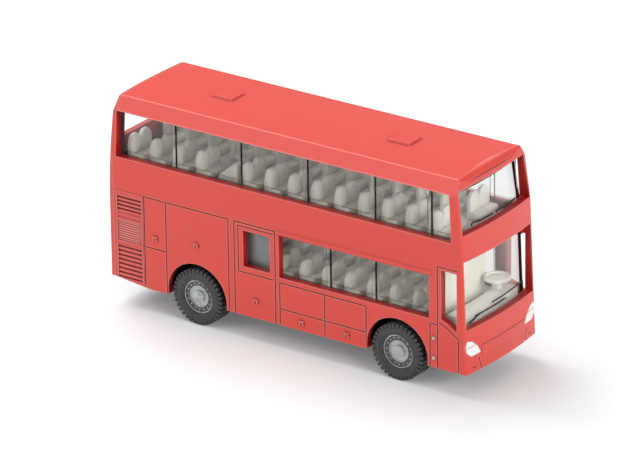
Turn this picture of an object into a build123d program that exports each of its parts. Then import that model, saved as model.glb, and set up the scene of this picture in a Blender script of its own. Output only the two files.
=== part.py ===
import os
from math import atan2, degrees, hypot

from build123d import *

os.makedirs("parts", exist_ok=True)

# A small die-cast double decker bus: +X is the front, +Y its left side, Z = 0 the floor.
# Every size is in millimetres.

# Overall sizes: the storeys run from the lower floor to the belt, and from the belt to the roof's edge
LENGTH = 82.0
BODY_HALF_WIDTH = 11.75
LOWER_STOREY = 17.6
UPPER_STOREY = 12.1

# Body casting
FRONT_BOW = 0.8
FRONT_RAKE = 0.041
CORNER_RADIUS = 0.5
WALL = 1.5
SKIRT_DROP = 0.9
TAIL_LENGTH = 8.2
TAIL_RISE = 0.9
SCREEN_SILL = 1.7
CANTRAIL_HEIGHT = 2.7
CANTRAIL_INSET = 1.65
ROOF_CROWN = 0.3
ROOF_SET_BACK = 3.0
ROOF_BOW = 0.5
ROOF_EDGE_RADIUS = 0.7
BROW_RADIUS = 1.5
HATCH_LENGTH = 5.0
HATCH_WIDTH = 4.4
HATCH_PROUD = 0.4
HATCH_BEVEL = 0.3
REAR_HATCH_IN = 19.6
FRONT_HATCH_IN = 22.1

# Rear panel, and the slanted seam between it and the casting
REAR_PANEL = 0.8
SEAM_BELT_IN = 0.8
SEAM_ROOF_IN = 1.5
SEAM_GAP = 0.05
REAR_BELT_IN = 0.35
REAR_ROOF_IN = 1.8
REAR_LEAN_DROP = 9.5
REAR_WINDOW_PILLAR = 3.1
REAR_WINDOW_SILL = 3.5
REAR_WINDOW_DROP = 0.5
REAR_LAMP = 1.4
REAR_LAMP_PITCH = 1.8
REAR_LAMP_COUNT = 3
REAR_LAMP_FROM_SIDE = 1.8
REAR_LAMP_UP = 6.65
LAMP_POCKET_MARGIN = 0.4
LAMP_POCKET_DEPTH = 0.3
REAR_HATCH_FROM_SIDE = 3.9
REAR_HATCH_UP = 4.25
REAR_HATCH_HEIGHT = 11.0

# Wheels and axles
REAR_OVERHANG = 20.0
FRONT_OVERHANG = 16.3
TYRE_RADIUS = 5.65
TYRE_SECTION = 2.25
TYRE_WIDTH = 4.2
TYRE_INSET = 0.2
LUG_COUNT = 36
LUG_GAP = 0.42
LUG_DEPTH = 0.6
HUB_SET_BACK = 0.4
HUB_DISH = 0.55
HUB_BOSS_RADIUS = 1.5
HUB_BOSS_PROUD = 0.2
HUB_WIDTH = 3.4
HUB_BORE_DEPTH = 2.2
HUB_FIT = 0.04
AXLE_RADIUS = 0.6
AXLE_CLEARANCE = 0.05
AXLE_PRESS_GAP = 0.02
ARCH_GAP = 1.25
ARCH_SHIFT = 0.1

# Glazing, decks and base
GLASS = 0.8
GLASS_GAP = 0.05
RIB_WIDTH = 0.8
RIB_PROUD = 0.4
UPPER_FIRST_RIB = 12.2
UPPER_RIB_PITCH = 15.13
FRONT_RIB_IN = 9.6
LOWER_FIRST_RIB = 10.5
LOWER_RIB_PITCH = 10.2
DECK = 0.9
DECK_GAP = 0.1
STACK_GAP = 0.05
UPPER_DECK_DROP = 2.5
BASE = 1.2
BASE_GAP = 0.1
BEARING_WIDTH = 1.4
BEARING_LENGTH = 5.0
BEARING_WALL = 0.9
AXLE_SLOT = 2.4
WHEEL_BAY_GAP = 0.7
RIVET_RADIUS = 1.2
RIVET_CLEARANCE = 0.05
REAR_RIVET_IN = 11.0
FRONT_RIVET_IN = 6.5

# Seats, in pairs either side of the aisle, and the stair head that takes one pair's place
UPPER_SEAT_START = 1.65
UPPER_SEAT_END = 7.0
UPPER_SEAT_PITCH = 5.3
UPPER_SEAT_HEIGHT = 5.3
LOWER_SEAT_START = 6.65
LOWER_SEAT_END = 1.0
LOWER_SEAT_PITCH = 5.1
LOWER_SEAT_HEIGHT = 4.5
AISLE_HALF_WIDTH = 2.3
SEAT_WALL_GAP = 2.8
SEAT_THICK = 1.2
SEAT_SHOULDER = 1.7
SEAT_CROWN = 0.55
SEAT_TAPER = 0.13
SEAT_VALLEY = 1.4
SEAT_CUSHION_HEIGHT = 1.5
SEAT_CUSHION_LENGTH = 2.0
STAIR_ROW = 4
STAIR_LENGTH = 4.3
STAIR_FOOT = 1.9
STAIR_TOP = 5.3

# Driver's place
DASH_LENGTH = 3.2
DASH_HEIGHT = 1.9
BULKHEAD_IN = 9.8
BULKHEAD = 0.8
BULKHEAD_FROM_LEFT = 5.25
BULKHEAD_HEAD_GAP = 0.3
WHEEL_IN = 6.2
WHEEL_FROM_SIDE = 5.5
WHEEL_HEIGHT = 3.5
WHEEL_RIM_RADIUS = 2.6
WHEEL_RIM = 0.8

# Relief on the casting
GROOVE = 0.28
GROOVE_DEPTH = 0.2
SLAT = 0.42
SLAT_DEPTH = 0.35
LOUVRE_LENGTH = 6.2
LOUVRE_FRAME = 0.3
LOUVRE_PROUD = 0.12
MESH_DEPTH = 0.12
LATCH_LENGTH = 1.0
LATCH_HEIGHT = 0.9
LATCH_SLOT_LENGTH = 0.4
LATCH_SLOT_HEIGHT = 0.5
LATCH_PROUD = 0.3
STUD = 0.6
STRIP_HEIGHT = 1.0
STRIP_PROUD = 0.25
DOOR_WIDTH = 9.35
FLAP_LENGTH = 10.2
WIPER_WIDTH = 0.22
WIPER_PROUD = 0.2
LAMP_DEPTH = 0.25
LAMP_GAP = 0.04
SCREEN_PILLAR = 0.5
FRONT_BAND_FROM_SIDE = 4.7
FRONT_BAND_UP = 2.75
FRONT_BAND_HEIGHT = 1.8
FRONT_BAND_PROUD = 0.12

# Places along the bus that follow from the sizes above
FRONT_X = LENGTH / 2
REAR_FACE_X = -LENGTH / 2
BODY_REAR_X = REAR_FACE_X + REAR_PANEL
TAIL_START_X = BODY_REAR_X + TAIL_LENGTH
ROOF_FRONT_X = FRONT_X - ROOF_SET_BACK
SEAM_BELT_X = BODY_REAR_X + SEAM_BELT_IN
SEAM_ROOF_X = BODY_REAR_X + SEAM_ROOF_IN
AXLES = {"rear": REAR_FACE_X + REAR_OVERHANG, "front": FRONT_X - FRONT_OVERHANG}
HATCH_X = (REAR_FACE_X + REAR_HATCH_IN, FRONT_X - FRONT_HATCH_IN)
RIVET_X = (REAR_FACE_X + REAR_RIVET_IN, FRONT_X - FRONT_RIVET_IN)
BULKHEAD_X = FRONT_X - BULKHEAD_IN
LOUVRE_X = BODY_REAR_X + 0.65
PANEL_REAR_X = LOUVRE_X + LOUVRE_LENGTH + 0.35
PANEL_FRONT_X = AXLES["rear"] + 7.6
DOOR_X = PANEL_FRONT_X + 1.4
FLAP_X = DOOR_X + DOOR_WIDTH + 1.0
FLAP_FRONT_X = AXLES["front"] - 6.8
WINDOW_FRONT_X = FRONT_X - 9.0
CAB_X = FRONT_X - 7.15
CAB_FRONT_X = FRONT_X - 2.5

# Heights that follow from the sizes above
AXLE_Z = TYRE_RADIUS
SKIRT_Z = AXLE_Z - SKIRT_DROP
LOWER_DECK_Z = 2 * TYRE_RADIUS + WHEEL_BAY_GAP
LOWER_FLOOR_Z = LOWER_DECK_Z + DECK
SILL_Z = LOWER_FLOOR_Z + 1.5
FLAP_TOP_Z = SILL_Z - 1.0
FLAP_MID_Z = SKIRT_Z + 3.35
BELT_Z = LOWER_FLOOR_Z + LOWER_STOREY
LOWER_WINDOW_TOP_Z = BELT_Z - 7.5
PANEL_TOP_Z = BELT_Z - 6.9
CAB_TOP_Z = BELT_Z - 5.3
UPPER_DECK_Z = BELT_Z - UPPER_DECK_DROP
UPPER_FLOOR_Z = UPPER_DECK_Z + DECK
SCREEN_BASE_Z = BELT_Z + SCREEN_SILL
LOWER_SCREEN_FOOT_Z = SILL_Z - 0.9
ROOF_Z = BELT_Z + UPPER_STOREY
ROOF_TOP_Z = ROOF_Z + ROOF_CROWN
WINDOW_TOP_Z = ROOF_Z - CANTRAIL_HEIGHT

# Widths that follow from the sizes above
WHEEL_ENDS = {"right": -1, "left": 1}
TYRE_FACE_Y = BODY_HALF_WIDTH - TYRE_INSET
BAY_INNER_Y = TYRE_FACE_Y - TYRE_WIDTH - WHEEL_BAY_GAP
BEARING_Y = BAY_INNER_Y - BEARING_WIDTH / 2
GLASS_INSET = WALL + GLASS_GAP
SEAT_WIDTH = (BODY_HALF_WIDTH - SEAT_WALL_GAP - AISLE_HALF_WIDTH) / 2
SEAT_PAIR_Y = AISLE_HALF_WIDTH + SEAT_WIDTH
DASH_INSET = GLASS_INSET + GLASS + DECK_GAP
SCREEN_Y = BODY_HALF_WIDTH - SCREEN_PILLAR
CUT = 2 * BODY_HALF_WIDTH
FAR = LENGTH

# Side windows: rear x, sill z, front x, top z
LOWER_WINDOW = (FLAP_X - 0.15, SILL_Z, WINDOW_FRONT_X, LOWER_WINDOW_TOP_Z)
LEFT_LOWER_WINDOW = (DOOR_X, SILL_Z, WINDOW_FRONT_X, LOWER_WINDOW_TOP_Z)
DOOR_WINDOW = (DOOR_X + 2.0, SILL_Z + 0.4, DOOR_X + DOOR_WIDTH - 1.2, LOWER_WINDOW_TOP_Z - 0.9)

# Cab side window and front edge of the upper side windows: x, z
CAB_WINDOW = (
    (CAB_X + 0.8, CAB_TOP_Z - 0.6),
    (CAB_FRONT_X - 0.4, CAB_TOP_Z - 0.6),
    (CAB_FRONT_X - 0.4, SILL_Z - 1.5),
    (CAB_X + 2.25, SILL_Z - 0.2),
    (CAB_X + 0.8, SILL_Z + 0.4),
)
UPPER_WINDOW_FRONT = ((FRONT_X - 4.1, BELT_Z), (FRONT_X - 4.5, WINDOW_TOP_Z))

# Windscreens: pillar at the foot, foot z, pillar at the head, head z
LOWER_SCREEN = (SCREEN_PILLAR, LOWER_SCREEN_FOOT_Z, SCREEN_PILLAR, UPPER_DECK_Z - 1.0)
UPPER_SCREEN = (SCREEN_PILLAR, SCREEN_BASE_Z, SCREEN_PILLAR + 0.45, WINDOW_TOP_Z + 0.7)

# Panel lines: from x, from z, to x, to z
BOTH_SIDE_LINES = (
    (PANEL_REAR_X, SKIRT_Z, PANEL_REAR_X, PANEL_TOP_Z),
    (PANEL_REAR_X, PANEL_TOP_Z, PANEL_FRONT_X, PANEL_TOP_Z),
    (PANEL_REAR_X + 5.1, SKIRT_Z, PANEL_REAR_X + 5.1, PANEL_TOP_Z),
    (PANEL_REAR_X, FLAP_TOP_Z, PANEL_REAR_X + 5.1, FLAP_TOP_Z),
    (PANEL_FRONT_X, SKIRT_Z, PANEL_FRONT_X, PANEL_TOP_Z),
    (FLAP_X, SKIRT_Z, FLAP_X, FLAP_TOP_Z),
    (FLAP_X, FLAP_TOP_Z, FLAP_FRONT_X, FLAP_TOP_Z),
    (FLAP_X + FLAP_LENGTH, SKIRT_Z, FLAP_X + FLAP_LENGTH, FLAP_TOP_Z),
    (FLAP_FRONT_X, SKIRT_Z, FLAP_FRONT_X, FLAP_TOP_Z),
    (FLAP_X, FLAP_MID_Z, FLAP_FRONT_X, FLAP_MID_Z),
    (CAB_FRONT_X, SKIRT_Z, CAB_FRONT_X, SILL_Z - 2.8),
)
RIGHT_SIDE_LINES = (
    (DOOR_X, SKIRT_Z, DOOR_X, PANEL_TOP_Z),
    (DOOR_X, PANEL_TOP_Z, DOOR_X + DOOR_WIDTH, PANEL_TOP_Z),
    (DOOR_X + DOOR_WIDTH, SKIRT_Z, DOOR_X + DOOR_WIDTH, PANEL_TOP_Z),
    (DOOR_X + 0.9, SILL_Z - 0.8, DOOR_X + 0.9, PANEL_TOP_Z - 0.7),
    (DOOR_X + 0.9, SILL_Z - 0.8, DOOR_X + DOOR_WIDTH - 0.55, SILL_Z - 0.8),
    (DOOR_X + 0.9, PANEL_TOP_Z - 0.7, DOOR_X + DOOR_WIDTH - 0.55, PANEL_TOP_Z - 0.7),
    (CAB_X, SKIRT_Z, CAB_X, CAB_TOP_Z),
    (CAB_X, CAB_TOP_Z, CAB_FRONT_X - 0.2, CAB_TOP_Z),
    (CAB_X - 1.65, SKIRT_Z, CAB_X - 1.65, SILL_Z - 0.9),
    (CAB_X - 1.65, SILL_Z - 0.9, CAB_X, SILL_Z - 0.9),
    (CAB_X + 0.45, SILL_Z - 0.4, CAB_X + 2.05, SILL_Z - 1.0),
    (CAB_X + 2.05, SILL_Z - 1.0, CAB_FRONT_X, SILL_Z - 2.8),
)

# Latches and hinge studs: x, z
BOTH_SIDE_LATCHES = (
    (PANEL_REAR_X + 2.5, FLAP_TOP_Z + 2.2),
    (AXLES["rear"] + 0.1, FLAP_TOP_Z + 3.1),
    (FLAP_X + 4.95, SKIRT_Z + 1.65),
    (FLAP_X + 15.15, SKIRT_Z + 1.75),
)
RIGHT_SIDE_LATCHES = ((DOOR_X + 4.8, FLAP_MID_Z + 0.2),)
HINGE_STUDS = ((CAB_X - 0.75, SKIRT_Z + 5.95), (CAB_X - 0.75, SKIRT_Z + 1.95))

# Louvre panel behind the rear wheels: slats as lowest z, count, spacing, and bars as middle z, height
SLAT_GROUPS = ((SKIRT_Z + 1.15, 8, 0.9), (PANEL_TOP_Z - 3.65, 4, 0.8))
LOUVRE_BARS = (
    (FLAP_TOP_Z - 0.2, 0.5),
    (PANEL_TOP_Z - 5.7, 0.4),
    (PANEL_TOP_Z - 4.8, 0.4),
    (PANEL_TOP_Z - 0.4, 0.8),
)

# Front panel lines, mirrored to the left: from the side, from z, to the side, to z
FRONT_LINES = (
    (4.4, SKIRT_Z, 3.8, SKIRT_Z + 2.45),
    (2.05, SKIRT_Z + 0.95, 2.75, SKIRT_Z + 0.95),
)

# Headlamp outline on the right front corner: from the side, height over the skirt
LAMP_OUTLINE = ((0.25, 5.6), (0.55, 6.6), (1.95, 6.25), (3.4, 5.1), (4.4, 3.4), (1.6, 3.3), (0.4, 4.3))

# Wiper arms and blades: from y, height over the screen's foot, to y, height over the screen's foot
UPPER_WIPERS = (
    (4.55 - SCREEN_Y, 0.3, 4.75 - SCREEN_Y, 0.7),
    (4.75 - SCREEN_Y, 0.7, 6.95 - SCREEN_Y, 0.7),
    (6.45 - SCREEN_Y, 0.52, -0.2, 0.52),
    (1.15, 0.3, 1.25, 0.6),
    (1.25, 0.55, 5.3, 0.42),
    (5.0, 0.6, SCREEN_Y - 2.75, 0.5),
)
LOWER_WIPERS = (
    (2.85 - SCREEN_Y, 0.25, 5.85 - SCREEN_Y, 1.15),
    (4.85 - SCREEN_Y, 1.15, 3.1, 1.25),
    (SCREEN_Y - 1.4, 0.3, SCREEN_Y - 1.35, 2.05),
    (-1.35, 2.1, SCREEN_Y - 1.35, 2.05),
)
WIPER_SETS = {
    "upper_wipers": (UPPER_WIPERS, SCREEN_BASE_Z),
    "lower_wipers": (LOWER_WIPERS, LOWER_SCREEN_FOOT_Z),
}


def evenly(first, pitch, end):
    """Places from first on, a pitch apart, up to end."""
    return [first + i * pitch for i in range(int((end - first) // pitch) + 1)]


def seam_x(z):
    """The slanted seam between roof casting and rear panel, above the belt."""
    return SEAM_BELT_X + (SEAM_ROOF_X - SEAM_BELT_X) * (z - BELT_Z) / (ROOF_Z - BELT_Z)


def front_x(z):
    """The raked front's foremost point at a height up to the upper screen's foot."""
    return FRONT_X - FRONT_RAKE * (z - SKIRT_Z)


def plan_face(z, apex_x, bow, inset, rear_x):
    """Body outline seen from above, drawn in by inset: only the outside has rounded corners."""
    half_width = BODY_HALF_WIDTH - inset
    shoulder_x = apex_x - bow - inset
    with BuildSketch(Plane.XY.offset(z)) as plan:
        with BuildLine():
            Polyline((shoulder_x, -half_width), (rear_x, -half_width), (rear_x, half_width),
                     (shoulder_x, half_width))
            ThreePointArc((shoulder_x, half_width), (apex_x - inset, 0), (shoulder_x, -half_width))
        make_face()
        if inset < CORNER_RADIUS:
            fillet(plan.vertices().sort_by(Axis.X)[-2:], CORNER_RADIUS - inset)
    return plan.sketch


def body_section(bottom_z, inset):
    """Body seen end on: upright sides, leaning cantrails and a crowned roof."""
    half_width = BODY_HALF_WIDTH - inset
    lip_y = half_width - CANTRAIL_INSET
    lip_z = ROOF_Z - inset
    with BuildSketch(Plane.YZ) as section:
        with BuildLine():
            Polyline((-lip_y, lip_z), (-half_width, WINDOW_TOP_Z), (-half_width, bottom_z),
                     (half_width, bottom_z), (half_width, WINDOW_TOP_Z), (lip_y, lip_z))
            ThreePointArc((lip_y, lip_z), (0, lip_z + ROOF_CROWN), (-lip_y, lip_z))
        make_face()
        if inset < ROOF_EDGE_RADIUS:
            fillet(section.vertices().group_by(Axis.Y)[-1], ROOF_EDGE_RADIUS - inset)
    return section.sketch


def hull(inset, bottom_z, rear_x):
    """The body as a full solid, drawn in all round by inset."""
    foot = plan_face(bottom_z, front_x(bottom_z), FRONT_BOW, inset, rear_x)
    waist = plan_face(SCREEN_BASE_Z, front_x(SCREEN_BASE_Z), FRONT_BOW, inset, rear_x)
    head = plan_face(ROOF_TOP_Z, ROOF_FRONT_X, ROOF_BOW, inset, rear_x)
    brow_x = ROOF_FRONT_X - inset - BROW_RADIUS
    brow_z = ROOF_TOP_Z - inset - BROW_RADIUS
    with BuildPart() as solid:
        loft([foot, waist])
        loft([waist, head])
        extrude(body_section(bottom_z, inset), amount=FAR, both=True, mode=Mode.INTERSECT)
        with BuildSketch(Plane.XZ) as brow:
            with BuildLine():
                Polyline((brow_x, brow_z + BROW_RADIUS), (brow_x, FAR), (FAR, FAR), (FAR, brow_z),
                         (brow_x + BROW_RADIUS, brow_z))
                RadiusArc((brow_x + BROW_RADIUS, brow_z), (brow_x, brow_z + BROW_RADIUS), -BROW_RADIUS)
            make_face()
        extrude(brow.sketch, amount=FAR, both=True, mode=Mode.SUBTRACT)
    return solid.part


def line_strips(lines, width):
    """Thin strips along straight lines, drawn into the sketch in progress."""
    for x0, z0, x1, z1 in lines:
        length = hypot(x1 - x0, z1 - z0) + width
        with Locations(((x0 + x1) / 2, (z0 + z1) / 2)):
            Rectangle(length, width, rotation=degrees(atan2(z1 - z0, x1 - x0)))


def window_face(left_x, sill_z, right_x, top_z):
    """One upright rectangle between two corners, drawn into the sketch in progress."""
    with Locations(((left_x + right_x) / 2, (sill_z + top_z) / 2)):
        Rectangle(right_x - left_x, top_z - sill_z)


def side_plane(side, depth):
    """Upright plane just under a side wall's face: side -1 is the right, +1 the left."""
    return Plane.XZ.offset(-side * (BODY_HALF_WIDTH - depth))


def front_inlay(sketch, outer_inset, inner_inset):
    """A thin piece that follows the bowed front between two depths under its face."""
    with BuildPart() as inlay:
        extrude(sketch, amount=FAR)
        add(hull(outer_inset, SKIRT_Z, BODY_REAR_X), mode=Mode.INTERSECT)
        add(hull(inner_inset, 0, BODY_REAR_X), mode=Mode.SUBTRACT)
    return inlay.part


def front_sketch_plane():
    """Upright plane across the body, ahead of the front wheels."""
    return Plane.YZ.offset(BULKHEAD_X)


def lamp_sketch(gap):
    """Both headlamps seen from the front, drawn in by gap."""
    with BuildSketch(front_sketch_plane()) as lamps:
        Polygon(*[(from_side - BODY_HALF_WIDTH, SKIRT_Z + up) for from_side, up in LAMP_OUTLINE], align=None)
        offset(amount=-gap, mode=Mode.REPLACE)
        mirror(about=Plane.YZ)
    return lamps.sketch


def screen_face(foot_pillar, foot_z, head_pillar, head_z):
    """Windscreen outline, drawn into the sketch in progress."""
    foot_y = BODY_HALF_WIDTH - foot_pillar
    head_y = BODY_HALF_WIDTH - head_pillar
    Polygon((-foot_y, foot_z), (foot_y, foot_z), (head_y, head_z), (-head_y, head_z), align=None)


# Body casting: one hollow shell with windows, arches, panel lines and roof hatches
with BuildPart() as body_shell:
    add(hull(0, SKIRT_Z, BODY_REAR_X))
    for hatch_x in HATCH_X:
        with BuildSketch(Plane.XY.offset(ROOF_Z)) as hatch:
            with Locations((hatch_x, 0)):
                Rectangle(HATCH_LENGTH, HATCH_WIDTH)
        extrude(hatch.sketch, amount=ROOF_CROWN + HATCH_PROUD)
    chamfer(body_shell.faces().sort_by(Axis.Z)[-len(HATCH_X):].edges(), HATCH_BEVEL)
    add(hull(WALL, SKIRT_Z - WALL, BODY_REAR_X - WALL), mode=Mode.SUBTRACT)

    # The roof and cantrails end at the slanted seam, and the skirt rises to the tail
    with BuildSketch(Plane.XZ) as rear_cut:
        Polygon((-FAR, BELT_Z), (seam_x(BELT_Z), BELT_Z), (seam_x(FAR), FAR), (-FAR, FAR), align=None)
    extrude(rear_cut.sketch, amount=CUT, both=True, mode=Mode.SUBTRACT)
    with BuildSketch(Plane.XZ) as tail_cut:
        Polygon((TAIL_START_X, SKIRT_Z), (BODY_REAR_X, SKIRT_Z + TAIL_RISE), (BODY_REAR_X, 0),
                (TAIL_START_X, 0), align=None)
    extrude(tail_cut.sketch, amount=CUT, both=True, mode=Mode.SUBTRACT)

    # Openings that both sides share
    with BuildSketch(Plane.XZ) as shared_cuts:
        with Locations(*[(x + ARCH_SHIFT, AXLE_Z) for x in AXLES.values()]):
            Circle(TYRE_RADIUS + ARCH_GAP)
        Polygon((seam_x(BELT_Z), BELT_Z), *UPPER_WINDOW_FRONT, (seam_x(WINDOW_TOP_Z), WINDOW_TOP_Z),
                align=None)
        Polygon(*CAB_WINDOW, align=None)
    extrude(shared_cuts.sketch, amount=CUT, both=True, mode=Mode.SUBTRACT)

    # The door side has a door and a shorter window, the other side one long window
    for side, windows in ((-1, (LOWER_WINDOW, DOOR_WINDOW)), (1, (LEFT_LOWER_WINDOW,))):
        with BuildSketch(Plane.XZ) as side_cuts:
            for window in windows:
                window_face(*window)
        extrude(side_cuts.sketch, amount=-side * CUT, mode=Mode.SUBTRACT)

    # Windscreens
    lower_start_x = front_x(UPPER_DECK_Z) - FRONT_BOW - WALL
    upper_start_x = ROOF_FRONT_X - BROW_RADIUS - WALL
    for screen, start_x in ((LOWER_SCREEN, lower_start_x), (UPPER_SCREEN, upper_start_x)):
        with BuildSketch(Plane.YZ.offset(start_x)) as screen_cut:
            screen_face(*screen)
        extrude(screen_cut.sketch, amount=FAR, mode=Mode.SUBTRACT)

    # Panel lines, slats and mesh bed, with raised louvre bars, latches and a strip over the windows
    for side, lines, latches, window in (
        (-1, BOTH_SIDE_LINES + RIGHT_SIDE_LINES, BOTH_SIDE_LATCHES + RIGHT_SIDE_LATCHES, LOWER_WINDOW),
        (1, BOTH_SIDE_LINES, BOTH_SIDE_LATCHES, LEFT_LOWER_WINDOW),
    ):
        louvre_front_x = LOUVRE_X + LOUVRE_LENGTH
        with BuildSketch(side_plane(side, 0)) as raised:
            for bar_z, bar_height in LOUVRE_BARS:
                window_face(LOUVRE_X, bar_z - bar_height / 2, louvre_front_x, bar_z + bar_height / 2)
            for edge_x in (LOUVRE_X, louvre_front_x - LOUVRE_FRAME):
                window_face(edge_x, SKIRT_Z + TAIL_RISE, edge_x + LOUVRE_FRAME, PANEL_TOP_Z)
        extrude(raised.sketch, amount=-side * LOUVRE_PROUD)
        with BuildSketch(side_plane(side, GROOVE_DEPTH)) as panel_lines:
            line_strips(lines, GROOVE)
        extrude(panel_lines.sketch, amount=-side * WALL, mode=Mode.SUBTRACT)
        with BuildSketch(side_plane(side, SLAT_DEPTH)) as slats:
            for lowest_z, count, spacing in SLAT_GROUPS:
                slat_zs = [lowest_z + i * spacing for i in range(count)]
                line_strips([(LOUVRE_X + SLAT, z, louvre_front_x - SLAT, z) for z in slat_zs], SLAT)
        extrude(slats.sketch, amount=-side * WALL, mode=Mode.SUBTRACT)
        mesh_bottom_z = LOUVRE_BARS[0][0] + LOUVRE_BARS[0][1] / 2
        mesh_top_z = LOUVRE_BARS[1][0] - LOUVRE_BARS[1][1] / 2
        with BuildSketch(side_plane(side, MESH_DEPTH)) as mesh_bed:
            window_face(LOUVRE_X + LOUVRE_FRAME, mesh_bottom_z, louvre_front_x - LOUVRE_FRAME, mesh_top_z)
        extrude(mesh_bed.sketch, amount=-side * WALL, mode=Mode.SUBTRACT)
        with BuildSketch(side_plane(side, 0)) as hooks:
            with Locations(*latches):
                Rectangle(LATCH_LENGTH, LATCH_HEIGHT)
            with Locations(*[(x, z + (LATCH_SLOT_HEIGHT - LATCH_HEIGHT) / 2) for x, z in latches]):
                Rectangle(LATCH_SLOT_LENGTH, LATCH_SLOT_HEIGHT, mode=Mode.SUBTRACT)
        extrude(hooks.sketch, amount=-side * LATCH_PROUD)
        with BuildSketch(side_plane(side, 0)) as strip:
            strip_end = STRIP_HEIGHT / 2
            window_face(window[0] - strip_end, window[3], window[2] + strip_end, window[3] + STRIP_HEIGHT)
        extrude(strip.sketch, amount=-side * STRIP_PROUD, taper=45)
    with BuildSketch(side_plane(-1, 0)) as studs:
        with Locations(*HINGE_STUDS):
            Rectangle(STUD, STUD)
    extrude(studs.sketch, amount=LATCH_PROUD)
    with BuildSketch(front_sketch_plane()) as front_lines:
        right_lines = [(d0 - BODY_HALF_WIDTH, z0, d1 - BODY_HALF_WIDTH, z1) for d0, z0, d1, z1 in FRONT_LINES]
        line_strips(right_lines, GROOVE)
        mirror(about=Plane.YZ)
    with BuildSketch(front_sketch_plane()) as front_band:
        band_y = BODY_HALF_WIDTH - FRONT_BAND_FROM_SIDE
        band_z = SKIRT_Z + FRONT_BAND_UP
        window_face(-band_y, band_z, band_y, band_z + FRONT_BAND_HEIGHT)
    add(front_inlay(front_band.sketch, -FRONT_BAND_PROUD, GROOVE_DEPTH))
    add(front_inlay(front_lines.sketch, -WALL, GROOVE_DEPTH), mode=Mode.SUBTRACT)
    add(front_inlay(lamp_sketch(0), -WALL, LAMP_DEPTH), mode=Mode.SUBTRACT)
body_shell.part.label = "body_shell"
export_step(body_shell.part, "parts/body_shell.step")

# Rear panel: a separate moulding that closes the open end of the casting
with BuildPart() as rear_panel:
    with BuildSketch(Plane.XZ) as rear_outline:
        tail_z = SKIRT_Z + TAIL_RISE
        lean_start = (REAR_FACE_X, BELT_Z - REAR_LEAN_DROP)
        lean_end = (REAR_FACE_X + REAR_ROOF_IN, ROOF_TOP_Z)
        with BuildLine():
            Polyline(lean_end, (seam_x(ROOF_TOP_Z) - SEAM_GAP, ROOF_TOP_Z),
                     (seam_x(BELT_Z) - SEAM_GAP, BELT_Z + SEAM_GAP),
                     (BODY_REAR_X - SEAM_GAP, BELT_Z + SEAM_GAP), (BODY_REAR_X - SEAM_GAP, tail_z),
                     (REAR_FACE_X, tail_z), lean_start)
            ThreePointArc(lean_start, (REAR_FACE_X + REAR_BELT_IN, BELT_Z), lean_end)
        make_face()
    extrude(rear_outline.sketch, amount=BODY_HALF_WIDTH, both=True)
    extrude(body_section(0, 0), amount=-FAR, mode=Mode.INTERSECT)
    window_y = BODY_HALF_WIDTH - REAR_WINDOW_PILLAR
    with BuildSketch(Plane.YZ) as rear_window:
        window_face(-window_y, BELT_Z + REAR_WINDOW_SILL, window_y, WINDOW_TOP_Z - REAR_WINDOW_DROP)
    extrude(rear_window.sketch, amount=-FAR, mode=Mode.SUBTRACT)
    hatch_y = BODY_HALF_WIDTH - REAR_HATCH_FROM_SIDE
    hatch_z = SKIRT_Z + REAR_HATCH_UP
    hatch_top_z = hatch_z + REAR_HATCH_HEIGHT
    with BuildSketch(Plane.YZ.offset(REAR_FACE_X + GROOVE_DEPTH)) as hatch_lines:
        line_strips([(-hatch_y, z, hatch_y, z) for z in (hatch_z, hatch_top_z)], GROOVE)
        line_strips([(y, hatch_z, y, hatch_top_z) for y in (-hatch_y, hatch_y)], GROOVE)
    extrude(hatch_lines.sketch, amount=-WALL, mode=Mode.SUBTRACT)
    lamp_y = BODY_HALF_WIDTH - REAR_LAMP_FROM_SIDE
    lamp_zs = [SKIRT_Z + REAR_LAMP_UP + i * REAR_LAMP_PITCH for i in range(REAR_LAMP_COUNT)]
    pocket_width = REAR_LAMP + 2 * LAMP_POCKET_MARGIN
    pocket_height = lamp_zs[-1] - lamp_zs[0] + pocket_width
    with BuildSketch(Plane.YZ.offset(REAR_FACE_X + LAMP_POCKET_DEPTH)) as lamp_pockets:
        with Locations(*[(side * lamp_y, (lamp_zs[0] + lamp_zs[-1]) / 2) for side in WHEEL_ENDS.values()]):
            Rectangle(pocket_width, pocket_height)
    extrude(lamp_pockets.sketch, amount=-WALL, mode=Mode.SUBTRACT)
    with BuildSketch(Plane.YZ.offset(REAR_FACE_X + LAMP_POCKET_DEPTH)) as rear_lamps:
        with Locations(*[(side * lamp_y, z) for z in lamp_zs for side in WHEEL_ENDS.values()]):
            Rectangle(REAR_LAMP, REAR_LAMP)
    extrude(rear_lamps.sketch, amount=-LAMP_POCKET_DEPTH)
rear_panel.part.label = "rear_panel"
export_step(rear_panel.part, "parts/rear_panel.step")


def add_ribs(rib_xs, bottom_z, top_z):
    """Upright ribs on the outside of both glazed sides of the part in progress."""
    for side in WHEEL_ENDS.values():
        with BuildSketch(side_plane(side, GLASS_INSET)) as ribs:
            with Locations(*[(x, (bottom_z + top_z) / 2) for x in rib_xs]):
                Rectangle(RIB_WIDTH, top_z - bottom_z)
        extrude(ribs.sketch, amount=-side * RIB_PROUD)


# Upper glazing: one clear tub upside down under the roof, open at the rear
with BuildPart() as upper_glazing:
    add(hull(GLASS_INSET, UPPER_FLOOR_Z + STACK_GAP, SEAM_ROOF_X))
    add(hull(GLASS_INSET + GLASS, UPPER_FLOOR_Z - GLASS, SEAM_ROOF_X - GLASS), mode=Mode.SUBTRACT)
    front_rib_x = FRONT_X - FRONT_RIB_IN
    side_ribs = evenly(SEAM_ROOF_X + UPPER_FIRST_RIB, UPPER_RIB_PITCH, front_rib_x - 2 * RIB_WIDTH)
    add_ribs(side_ribs + [front_rib_x], BELT_Z, WINDOW_TOP_Z)
upper_glazing.part.label = "upper_glazing"
export_step(upper_glazing.part, "parts/upper_glazing.step")

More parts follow.
